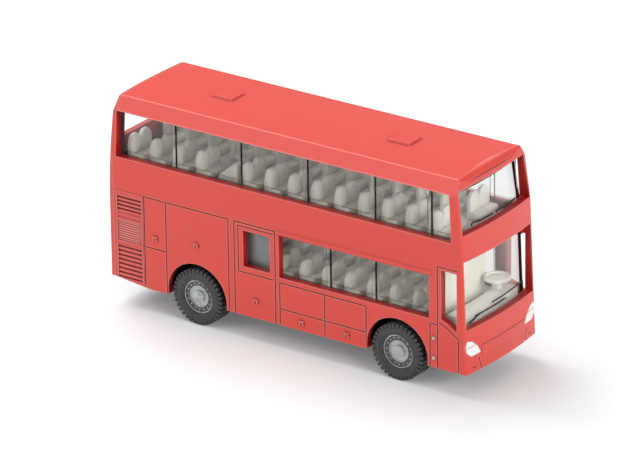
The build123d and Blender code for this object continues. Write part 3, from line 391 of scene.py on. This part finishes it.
def pick_edges(piece, wanted):
    """Goes into edit mode with only the edges selected whose middle is wanted."""
    bpy.ops.object.select_all(action="DESELECT")
    piece.select_set(True)
    bpy.context.view_layer.objects.active = piece
    bpy.context.tool_settings.mesh_select_mode = (False, True, False)
    places = [vertex.co for vertex in piece.data.vertices]
    for vertex in piece.data.vertices:
        vertex.select = False
    for face in piece.data.polygons:
        face.select = False
    for edge in piece.data.edges:
        edge.select = wanted((places[edge.vertices[0]] + places[edge.vertices[1]]) / 2)
    bpy.ops.object.mode_set(mode="EDIT")


def pick_faces(piece, wanted):
    """Goes into edit mode with only the faces selected whose middle and normal are wanted."""
    bpy.ops.object.select_all(action="DESELECT")
    piece.select_set(True)
    bpy.context.view_layer.objects.active = piece
    bpy.context.tool_settings.mesh_select_mode = (False, False, True)
    for vertex in piece.data.vertices:
        vertex.select = False
    for edge in piece.data.edges:
        edge.select = False
    for face in piece.data.polygons:
        face.select = wanted(face.center, face.normal)
    bpy.ops.object.mode_set(mode="EDIT")


def mould_seat(height):
    """One seat at the origin: a thumb-shaped back with a rounded cushion in front of it."""
    back = add_block("seat_back", (0.0, -SEAT_WIDTH / 2, 0.0),
                     (SEAT_THICK, SEAT_WIDTH / 2, SEAT_SHOULDER * height))
    pick_faces(back, lambda middle, normal: normal.z > FACING)
    for rise, narrowing, thinning in SEAT_TAPER:
        bpy.ops.mesh.extrude_region_move(TRANSFORM_OT_translate={"value": (0.0, 0.0, rise * height)})
        bpy.ops.transform.resize(value=(thinning, narrowing, 1.0))
    bpy.ops.object.mode_set(mode="OBJECT")
    soften(back, SEAT_ROUNDING, segments=4)
    cushion = add_block("seat_cushion", ((1.0 - CUSHION_OVERLAP) * SEAT_THICK, -SEAT_WIDTH / 2, 0.0),
                        (SEAT_THICK + CUSHION_LENGTH, SEAT_WIDTH / 2, CUSHION_HEIGHT))
    soften(cushion, CUSHION_ROUNDING, segments=3)
    return join("seat", [back, cushion])


def bow_front(piece, bow):
    """Draws the front of a piece forward and narrows it, to follow the bowed front of the bus."""
    pick_faces(piece, lambda middle, normal: normal.x > FACING)
    bpy.ops.mesh.extrude_region_move(TRANSFORM_OT_translate={"value": (bow, 0.0, 0.0)})
    bpy.ops.transform.resize(value=(1.0, BOW_NARROWING, 1.0))
    bpy.ops.object.mode_set(mode="OBJECT")


def mould_floor(name, front_x, underside_z, top_z):
    """A deck's floor between the sides of the casting."""
    floor_plate = add_block(name, (DECK_REAR, -DECK_HALF_WIDTH, underside_z),
                            (front_x, DECK_HALF_WIDTH, top_z))
    bow_front(floor_plate, DECK_BOW)
    soften(floor_plate, DECK_ROUNDING, segments=2)
    return floor_plate


seat_places = [side * (AISLE_HALF_WIDTH + seat * SEAT_WIDTH) for side in (-1, 1) for seat in (0.5, 1.5)]
upper_floor = mould_floor("upper_floor", UPPER_FRONT, UPPER_UNDERSIDE, UPPER_FLOOR)
stair_x, stair_top = UPPER_ROWS[STAIR_ROW], UPPER_FLOOR + STAIR_HEIGHT
stair = add_block("stair_head", (stair_x, STAIR_OUTSIDE, UPPER_FLOOR),
                  (stair_x + STAIR_LENGTH, -AISLE_HALF_WIDTH, stair_top))
pick_edges(stair, lambda middle: middle.z > stair_top - NEAR and middle.x < stair_x + NEAR)
bpy.ops.transform.translate(value=(0.0, 0.0, -STAIR_SLOPE))
bpy.ops.object.mode_set(mode="OBJECT")
soften(stair, STAIR_ROUNDING, segments=4)
upper_seat = mould_seat(UPPER_SEAT_HEIGHT)
upper_pieces = [upper_floor, stair]
for row, row_x in enumerate(UPPER_ROWS):
    for seat_y in seat_places:
        if row == STAIR_ROW and seat_y < 0.0:
            continue
        upper_pieces.append(copy_of(upper_seat, "seat", Matrix.Translation((row_x, seat_y, UPPER_FLOOR))))
bpy.data.objects.remove(upper_seat)
upper_moulding = join("upper_deck_moulding", upper_pieces)
upper_moulding.data.materials.append(seat_plastic)
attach(upper_moulding, "bus")
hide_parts("upper_deck")

# Lower deck: floor, shorter seats, the cab partition, dashboard and steering wheel, in one moulding.
# The same pale plastic; the wheel is a thick-rimmed dish on a stout column.
LOWER_FLOOR, LOWER_UNDERSIDE, LOWER_FRONT = 0.0129, 0.0120, 0.0382
LOWER_SEAT_HEIGHT = 0.0045
LOWER_ROWS = [-0.01435 + 0.0051 * i for i in range(9)]
PARTITION_LOW, PARTITION_HIGH = (0.0312, -0.0093, LOWER_FLOOR), (0.0320, 0.0065, 0.0277)
DASH_LOW, DASH_HIGH = (0.03414, -0.0093, LOWER_FLOOR), (0.03734, 0.0093, 0.0148)
DASH_BOW = 0.0007
PARTITION_ROUNDING, DASH_ROUNDING = 0.00030, 0.00035
WHEEL_X, WHEEL_Y, WHEEL_Z = 0.0348, 0.00625, 0.0164
WHEEL_RADIUS, WHEEL_RIM = 0.0026, 0.0004
DISH_THICK, DISH_INSET, DISH_RISE, DISH_ROUNDING = 0.0004, 0.0012, 0.0003, 0.00012
COLUMN_HALF, COLUMN_OVERLAP, COLUMN_ROUNDING = 0.0008, 0.0001, 0.00030

lower_floor = mould_floor("lower_floor", LOWER_FRONT, LOWER_UNDERSIDE, LOWER_FLOOR)
partition = add_block("cab_partition", PARTITION_LOW, PARTITION_HIGH)
soften(partition, PARTITION_ROUNDING, segments=3)
dash = add_block("dashboard", DASH_LOW, DASH_HIGH)
bow_front(dash, DASH_BOW)
soften(dash, DASH_ROUNDING, segments=3)
bpy.ops.mesh.primitive_torus_add(major_radius=WHEEL_RADIUS - WHEEL_RIM, minor_radius=WHEEL_RIM,
                                 major_segments=48, minor_segments=12,
                                 location=(WHEEL_X, WHEEL_Y, WHEEL_Z + WHEEL_RIM))
wheel_rim = bpy.context.object
bpy.ops.object.transform_apply(location=True, rotation=True, scale=True)
bpy.ops.mesh.primitive_cylinder_add(vertices=48, radius=WHEEL_RADIUS - WHEEL_RIM, depth=DISH_THICK,
                                    location=(WHEEL_X, WHEEL_Y, WHEEL_Z + DISH_THICK / 2))
wheel_dish = bpy.context.object
bpy.ops.object.transform_apply(location=True, rotation=True, scale=True)
pick_faces(wheel_dish, lambda middle, normal: normal.z > FACING)
bpy.ops.mesh.inset(thickness=DISH_INSET)
bpy.ops.transform.translate(value=(0.0, 0.0, DISH_RISE))
bpy.ops.object.mode_set(mode="OBJECT")
soften(wheel_dish, DISH_ROUNDING, segments=2)
column = add_block("steering_column", (WHEEL_X - COLUMN_HALF, WHEEL_Y - COLUMN_HALF, LOWER_FLOOR),
                   (WHEEL_X + COLUMN_HALF, WHEEL_Y + COLUMN_HALF, WHEEL_Z + COLUMN_OVERLAP))
soften(column, COLUMN_ROUNDING, segments=3)
steering = join("steering_wheel", [wheel_rim, wheel_dish, column])
smooth_between(steering)
lower_seat = mould_seat(LOWER_SEAT_HEIGHT)
lower_pieces = [lower_floor, partition, dash, steering]
for row_x in LOWER_ROWS:
    for seat_y in seat_places:
        lower_pieces.append(copy_of(lower_seat, "seat", Matrix.Translation((row_x, seat_y, LOWER_FLOOR))))
bpy.data.objects.remove(lower_seat)
lower_moulding = join("lower_deck_moulding", lower_pieces)
lower_moulding.data.materials.append(seat_plastic)
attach(lower_moulding, "bus")
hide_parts("lower_deck")

# Door pane: a plain frosted sheet behind the glass of the middle door, so nothing shows through it.
# Its blue-grey, a little bluer than the seats, is painted shade for the dim stair side behind the door; the
# sheet stands on the lower floor.
PANE_LOW, PANE_HIGH = (-0.0106, -0.0093, LOWER_FLOOR), (-0.0032, -0.0090, 0.0236)
PANE_ROUNDING = 0.00008
PANE_DARK, PANE_PALE = (0.26, 0.29, 0.295, 1.0), (0.34, 0.37, 0.375, 1.0)

pane_shade_grey, pane_shader, pane_place = new_finish("pane_shade_grey")
pane_cloud = grain(pane_shade_grey, pane_place, specks=300.0, detail=2.0)
tint(pane_shade_grey, pane_shader, pane_cloud, PANE_DARK, PANE_PALE)
spread(pane_shade_grey, pane_cloud, "Fac", NOISE_SPAN, (0.35, 0.50), pane_shader, "Roughness")
door_pane = add_block("door_pane", PANE_LOW, PANE_HIGH)
soften(door_pane, PANE_ROUNDING, segments=2)
door_pane.data.materials.append(pane_shade_grey)
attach(door_pane, "bus")

# Headlamps: white ink pads let into the front corners, each split by a thin red bar of the casting.
# The ink is thick and glossy, the bar stands just proud of it.
LAMP_DARK, LAMP_PALE = (0.88, 0.88, 0.87, 1.0), (0.94, 0.94, 0.93, 1.0)
LAMP_BAR_X, LAMP_BAR_Y, LAMP_BAR_Z = 0.04022, 0.00983, 0.0100
LAMP_BAR_TURN = math.radians(6.5)
LAMP_BAR_LOW, LAMP_BAR_HIGH = (-0.00015, -0.00142, -0.00008), (0.00006, 0.00142, 0.00008)
LAMP_BAR_ROUNDING = 0.00004

lamp_white, lamp, lamp_place = new_finish("lamp_white")
lamp_cloud = grain(lamp_white, lamp_place, specks=800.0, detail=2.0)
tint(lamp_white, lamp, lamp_cloud, LAMP_DARK, LAMP_PALE)
spread(lamp_white, lamp_cloud, "Fac", NOISE_SPAN, (0.15, 0.25), lamp, "Roughness")
dress("headlamps", lamp_white)

lamp_bars = []
for side in (-1, 1):
    bar = add_block("lamp_bar", LAMP_BAR_LOW, LAMP_BAR_HIGH)
    soften(bar, LAMP_BAR_ROUNDING, segments=2)
    bar.data.transform(Matrix.Translation((LAMP_BAR_X, side * LAMP_BAR_Y, LAMP_BAR_Z))
                       @ Matrix.Rotation(side * LAMP_BAR_TURN, 4, "Z"))
    lamp_bars.append(bar)
lamp_bar_pair = join("lamp_bars", lamp_bars)
lamp_bar_pair.data.materials.append(red_paint)
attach(lamp_bar_pair, "bus")

# Wheels: soft black tyres of two rows of lugs, stretched over silver-inked plastic hubs.
# The hub has a bright rim, a dark ring set with small studs, an inner ring and a domed cap.
TYRE_RADIUS, TYRE_WIDTH, TYRE_ROUNDING = 0.00565, 0.0042, 0.00010
CARCASS_RADIUS, TYRE_BORE = 0.00490, 0.00340
SIDE_WALL = ((0.00020, 0.00006), (0.00055, 0.0), (0.00030, -0.00012))
BAND_SET_BACK, BAND_DEPTH, BAND_ROUNDING = 0.00006, 0.0009, 0.00005
BAND_FACE, BAND_BACK = 0.0015, 0.0027
LUG_COUNT, LUG_HALF, LUG_ROUNDING = 36, 0.00034, 0.00008
LUG_FACE, LUG_BACK, LUG_ROOT = 0.00002, 0.00160, 0.0002
LUG_ROW_PITCH = 0.00258
HUB_RADIUS, HUB_WIDTH, HUB_SET_BACK, HUB_ROUNDING = 0.00336, 0.0034, 0.0004, 0.00006
HUB_FACE = ((0.00026, -0.00048), (0.00092, 0.00030), (0.00022, -0.00016), (0.00072, 0.00050),
            (0.00040, 0.00014), (0.00040, 0.00006))
HUB_BORE, HUB_BORE_DEPTH = 0.00062, 0.0022
STUD_COUNT, STUD_HALF, STUD_ROUNDING = 16, 0.00016, 0.00006
STUD_FACE, STUD_BACK, STUD_INSIDE, STUD_OUTSIDE = 0.00020, 0.00052, 0.00252, 0.00282
RING_RADIUS, RING_WIDTH, RING_ROUNDING = 0.00309, 0.00088, 0.00003
RING_FACE, RING_BACK = 0.00040, 0.00060
TYRE_SIDES, HUB_SIDES = 108, 72
WHEEL_PLACES = {
    ("front", "right"): (0.0247, -0.01155), ("front", "left"): (0.0247, 0.01155),
    ("rear", "right"): (-0.0210, -0.01155), ("rear", "left"): (-0.0210, 0.01155),
}
AXLE_HEIGHT = 0.00565
RUBBER_DARK, RUBBER_PALE = (0.036, 0.035, 0.038, 1.0), (0.062, 0.060, 0.064, 1.0)
SILVER_DULL, SILVER_BRIGHT = (0.38, 0.40, 0.40, 1.0), (0.56, 0.58, 0.58, 1.0)
RING_DARK, RING_PALE, RING_SPAN = (0.070, 0.076, 0.078, 1.0), (0.17, 0.18, 0.182, 1.0), (0.35, 0.65)
ON_AXIS = 1e-5

tyre_rubber, tyre_shader, tyre_place = new_finish("tyre_rubber")
tyre_cloud = grain(tyre_rubber, tyre_place, specks=700.0, detail=3.0)
tint(tyre_rubber, tyre_shader, tyre_cloud, RUBBER_DARK, RUBBER_PALE)
spread(tyre_rubber, tyre_cloud, "Fac", NOISE_SPAN, (0.5, 0.68), tyre_shader, "Roughness")
tyre_grain = grain(tyre_rubber, tyre_place, specks=4000.0, detail=2.0)
ripple(tyre_rubber, tyre_shader, tyre_grain, strength=0.20, depth=0.00006)

hub_silver, hub_shader, hub_place = new_finish("hub_silver")
hub_shader.inputs["Metallic"].default_value = 0.85
hub_cloud = grain(hub_silver, hub_place, specks=1500.0, detail=3.0)
tint(hub_silver, hub_shader, hub_cloud, SILVER_DULL, SILVER_BRIGHT)
spread(hub_silver, hub_cloud, "Fac", NOISE_SPAN, (0.30, 0.44), hub_shader, "Roughness")
ripple(hub_silver, hub_shader, hub_cloud, strength=0.12, depth=0.00005)

hub_grey, grey_shader, grey_place = new_finish("hub_grey")
grey_shader.inputs["Metallic"].default_value = 0.3
grey_cloud = grain(hub_grey, grey_place, specks=2600.0, detail=3.0)
tint(hub_grey, grey_shader, grey_cloud, RING_DARK, RING_PALE, RING_SPAN)
spread(hub_grey, grey_cloud, "Fac", NOISE_SPAN, (0.40, 0.60), grey_shader, "Roughness")
ripple(hub_grey, grey_shader, grey_cloud, strength=0.20, depth=0.00008)


def add_disc(name, radius, face_y, back_y, sides):
    """A round blank across the bus, its face towards the right: the start of a turned piece."""
    bpy.ops.mesh.primitive_cylinder_add(vertices=sides, radius=radius, depth=back_y - face_y,
                                        location=(0.0, (face_y + back_y) / 2, 0.0),
                                        rotation=(math.pi / 2, 0.0, 0.0))
    disc = bpy.context.object
    disc.name = name
    bpy.ops.object.transform_apply(location=True, rotation=True, scale=True)
    return disc


def turn_face(disc, steps, towards):
    """Turns one end of a blank: each step insets the end by a width, then moves it in or out."""
    pick_faces(disc, lambda middle, normal: normal.y * towards > FACING and middle.xz.length < ON_AXIS)
    for width, move in steps:
        bpy.ops.mesh.inset(thickness=width)
        if move:
            bpy.ops.mesh.extrude_region_move(TRANSFORM_OT_translate={"value": (0.0, towards * move, 0.0)})
    bpy.ops.object.mode_set(mode="OBJECT")


def bore_through(disc, width):
    """Leaves a ring of a width at both ends of a blank and opens it from end to end."""
    pick_faces(disc, lambda middle, normal: abs(normal.y) > FACING and middle.xz.length < ON_AXIS)
    bpy.ops.mesh.inset(thickness=width)
    bpy.ops.mesh.bridge_edge_loops()
    bpy.ops.object.mode_set(mode="OBJECT")


def around(angle):
    """A turn about the wheel's own axis."""
    return Matrix.Rotation(angle, 4, "Y")


carcass = add_disc("tyre", CARCASS_RADIUS, 0.0, TYRE_WIDTH, TYRE_SIDES)
for towards in (-1, 1):
    turn_face(carcass, SIDE_WALL, towards)
bore_through(carcass, CARCASS_RADIUS - sum(width for width, move in SIDE_WALL) - TYRE_BORE)
soften(carcass, TYRE_ROUNDING, segments=2)
centre_band = add_disc("centre_band", TYRE_RADIUS - BAND_SET_BACK, BAND_FACE, BAND_BACK, TYRE_SIDES)
bore_through(centre_band, BAND_DEPTH)
soften(centre_band, BAND_ROUNDING, segments=2)
lug = add_block("lug", (-LUG_HALF, LUG_FACE, CARCASS_RADIUS - LUG_ROOT), (LUG_HALF, LUG_BACK, TYRE_RADIUS))
soften(lug, LUG_ROUNDING, segments=2)
lugs = []
for row, start in ((0, 0.0), (1, 0.5)):
    across = Matrix.Translation((0.0, row * LUG_ROW_PITCH, 0.0))
    for i in range(LUG_COUNT):
        lugs.append(copy_of(lug, "lug", around(2 * math.pi * (i + start) / LUG_COUNT) @ across))
bpy.data.objects.remove(lug)
tyre = join("tyre", [carcass, centre_band] + lugs)
tyre.data.materials.append(tyre_rubber)

hub = add_disc("hub", HUB_RADIUS, HUB_SET_BACK, HUB_SET_BACK + HUB_WIDTH, HUB_SIDES)
turn_face(hub, HUB_FACE, -1)
turn_face(hub, ((HUB_RADIUS - HUB_BORE, -HUB_BORE_DEPTH),), 1)
soften(hub, HUB_ROUNDING, segments=2)
stud = add_block("hub_stud", (-STUD_HALF, HUB_SET_BACK + STUD_FACE, STUD_INSIDE),
                 (STUD_HALF, HUB_SET_BACK + STUD_BACK, STUD_OUTSIDE))
soften(stud, STUD_ROUNDING, segments=2)
studs = [copy_of(stud, "hub_stud", around(2 * math.pi * i / STUD_COUNT)) for i in range(1, STUD_COUNT)]
hub = join("hub", [hub, stud] + studs)
hub.data.materials.append(hub_silver)

dark_ring = add_disc("hub_ring", RING_RADIUS, HUB_SET_BACK + RING_FACE, HUB_SET_BACK + RING_BACK, HUB_SIDES)
bore_through(dark_ring, RING_WIDTH)
soften(dark_ring, RING_ROUNDING, segments=1)
dark_ring.data.materials.append(hub_grey)

patterns = ((tyre, "tyre", "tyre_rubber"), (hub, "hub", "hub_silver"), (dark_ring, "hub_ring", "hub_silver"))
for (end, hand), (wheel_x, wheel_y) in WHEEL_PLACES.items():
    facing = Matrix.Rotation(math.pi if hand == "left" else 0.0, 4, "Z")
    seat_on_axle = Matrix.Translation((wheel_x, wheel_y, AXLE_HEIGHT)) @ facing
    for piece, role, slot in patterns:
        placed = copy_of(piece, f"{end}_{hand}_{role}_moulding", seat_on_axle)
        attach(placed, f"{end}_wheelset")
        if role != "hub_ring":
            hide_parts(f"{end}_{hand}_{role}")
for pattern in (tyre, hub, dark_ring):
    bpy.data.objects.remove(pattern)

# Axles and base: plain steel pins, turning in bearings on a dark moulded base plate.
# Two rivets, spread over from below, hold the base and all above it in the casting.
BASE_DARK, BASE_PALE = (0.022, 0.022, 0.024, 1.0), (0.045, 0.045, 0.047, 1.0)

dark_plastic, dark, dark_place = new_finish("dark_plastic")
dark_cloud = grain(dark_plastic, dark_place, specks=500.0, detail=3.0)
tint(dark_plastic, dark, dark_cloud, BASE_DARK, BASE_PALE)
spread(dark_plastic, dark_cloud, "Fac", NOISE_SPAN, (0.45, 0.65), dark, "Roughness")
dark_grain = grain(dark_plastic, dark_place, specks=3200.0, detail=2.0)
ripple(dark_plastic, dark, dark_grain, strength=0.15, depth=0.00006)
dress("base_plate", dark_plastic)
dress("base_rivets", bare_metal)
dress("front_axle", bare_metal)
dress("rear_axle", bare_metal)

# Studio: a plain white floor under four soft boxes in white air.
# A faint glow, for the camera alone and for what mirrors or passes its view, keeps the floor plain white.
FLOOR_SIZE, FLOOR_TONE, FLOOR_GLOW = 6.0, (0.83, 0.85, 0.855, 1.0), 0.10
AIR_STRENGTH = 0.44
SOFTBOX_AIM = Vector((0.0, 0.0, 0.02))
SOFTBOXES = (
    ("key_softbox", (-0.45, 0.10, 0.80), 0.60, 5.4),
    ("far_softbox", (-0.12, 0.92, 0.66), 0.50, 2.3),
    ("near_softbox", (0.85, -0.25, 0.36), 0.40, 3.6),
    ("edge_softbox", (-0.55, -0.72, 0.55), 0.60, 2.0),
)

bpy.ops.mesh.primitive_grid_add(x_subdivisions=4, y_subdivisions=4, size=FLOOR_SIZE, location=(0.0, 0.0, 0.0))
floor = bpy.context.object
floor.name = "studio_floor"
floor_white, floor_shader, _ = new_finish("floor_white")
floor_shader.inputs["Base Color"].default_value = FLOOR_TONE
floor_shader.inputs["Roughness"].default_value = 0.9
floor_shader.inputs["Specular IOR Level"].default_value = 0.1
floor_nodes = floor_white.node_tree.nodes
seen = floor_nodes.new("ShaderNodeLightPath")
glow = floor_nodes.new("ShaderNodeEmission")
add_white = floor_nodes.new("ShaderNodeAddShader")
seen_or_mirrored = floor_nodes.new("ShaderNodeMath")
seen_or_mirrored.operation = "MAXIMUM"
seen_or_through = floor_nodes.new("ShaderNodeMath")
seen_or_through.operation = "MAXIMUM"
seen_strength = floor_nodes.new("ShaderNodeMath")
seen_strength.operation = "MULTIPLY"
seen_strength.inputs[1].default_value = FLOOR_GLOW
wire(floor_white, seen, "Is Camera Ray", seen_or_mirrored, 0)
wire(floor_white, seen, "Is Glossy Ray", seen_or_mirrored, 1)
wire(floor_white, seen_or_mirrored, "Value", seen_or_through, 0)
wire(floor_white, seen, "Is Transmission Ray", seen_or_through, 1)
wire(floor_white, seen_or_through, "Value", seen_strength, 0)
wire(floor_white, seen_strength, "Value", glow, "Strength")
wire(floor_white, floor_shader, "BSDF", add_white, 0)
wire(floor_white, glow, "Emission", add_white, 1)
wire(floor_white, add_white, "Shader", floor_nodes["Material Output"], "Surface")
floor.data.materials.append(floor_white)

world = bpy.data.worlds.new("studio_air")
bpy.context.scene.world = world
world.use_nodes = True
air = world.node_tree.nodes["Background"]
air.inputs["Color"].default_value = (1.0, 1.0, 1.0, 1.0)
air.inputs["Strength"].default_value = AIR_STRENGTH

for box_name, place, size, power in SOFTBOXES:
    turn = (SOFTBOX_AIM - Vector(place)).to_track_quat("-Z", "Y").to_euler()
    bpy.ops.object.light_add(type="AREA", location=place, rotation=turn)
    softbox = bpy.context.object
    softbox.name = box_name
    softbox.data.shape = "SQUARE"
    softbox.data.size = size
    softbox.data.energy = power

# Camera: a long lens, from the front right and above.
# It stands about 1.1 m from the bus and is tilted a touch, as the photo is.
CAMERA_PLACE = (0.57191, -0.812021, 0.44458)
CAMERA_AZIMUTH = math.radians(35.183)
CAMERA_ELEVATION = math.radians(23.149)
CAMERA_ROLL = math.radians(-0.737)
CAMERA_LENS, CAMERA_SENSOR = 323.28, 36.0

bpy.ops.object.camera_add(location=CAMERA_PLACE)
camera = bpy.context.object
camera.name = "photo_camera"
level_view = Euler((math.pi / 2 - CAMERA_ELEVATION, 0.0, CAMERA_AZIMUTH)).to_matrix()
camera.rotation_euler = (level_view @ Matrix.Rotation(CAMERA_ROLL, 3, "Z")).to_euler()
camera.data.sensor_fit = "HORIZONTAL"
camera.data.sensor_width = CAMERA_SENSOR
camera.data.lens = CAMERA_LENS
camera.data.clip_start = 0.01
camera.data.clip_end = 20.0
bpy.context.scene.camera = camera
bpy.context.scene.view_settings.view_transform = "Standard"
